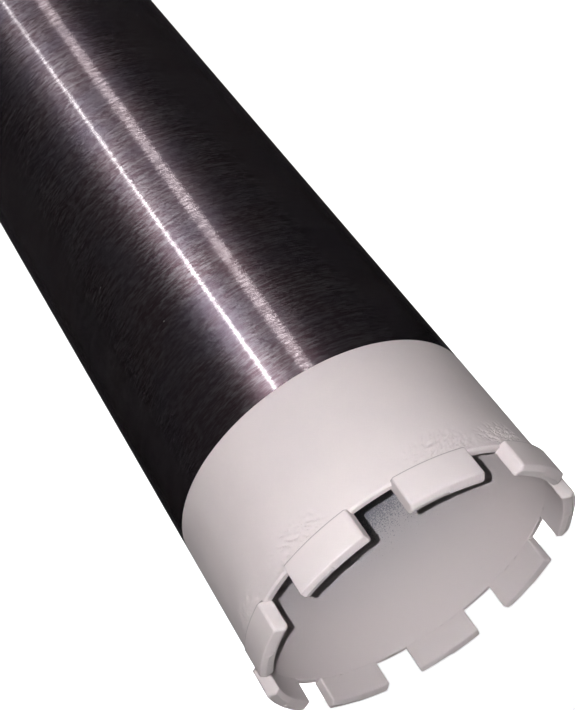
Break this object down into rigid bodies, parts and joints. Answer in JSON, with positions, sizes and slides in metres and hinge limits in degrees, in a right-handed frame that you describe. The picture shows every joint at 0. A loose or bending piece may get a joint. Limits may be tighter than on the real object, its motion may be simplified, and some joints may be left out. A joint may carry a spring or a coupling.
{
  "type": "diamond core bit",
  "caption": "Wet core bit: plain steel barrel with painted cutting end, arc-shaped diamond segments on its rim and a hexagonal hub with a female thread at the back.",
  "frame": {"origin": "centre of the hub's mouth face, on the axis that the bit turns about; the bit stands on that face", "axes": "+Z along the bit's axis towards the cutting end; +X through the middle of one diamond segment"},
  "size_m": [0.1114, 0.112, 0.495],
  "materials": {
    "barrel_steel": "dark steel, brushed round the barrel, pale paint on the last 47 mm",
    "segment_paint": "pale warm grey spray paint",
    "hub_steel": "turned steel",
    "cap_steel": "dark turned steel with plain weld beads"
  },
  "bodies": {
    "root": {"barrel_tube": "barrel_steel", "end_cap": "cap_steel", "threaded_hub": "hub_steel", "diamond_segment_1": "segment_paint", "diamond_segment_2": "segment_paint", "diamond_segment_3": "segment_paint", "diamond_segment_4": "segment_paint", "diamond_segment_5": "segment_paint", "diamond_segment_6": "segment_paint", "diamond_segment_7": "segment_paint", "diamond_segment_8": "segment_paint", "diamond_segment_9": "segment_paint"}
  },
  "joints": []
}
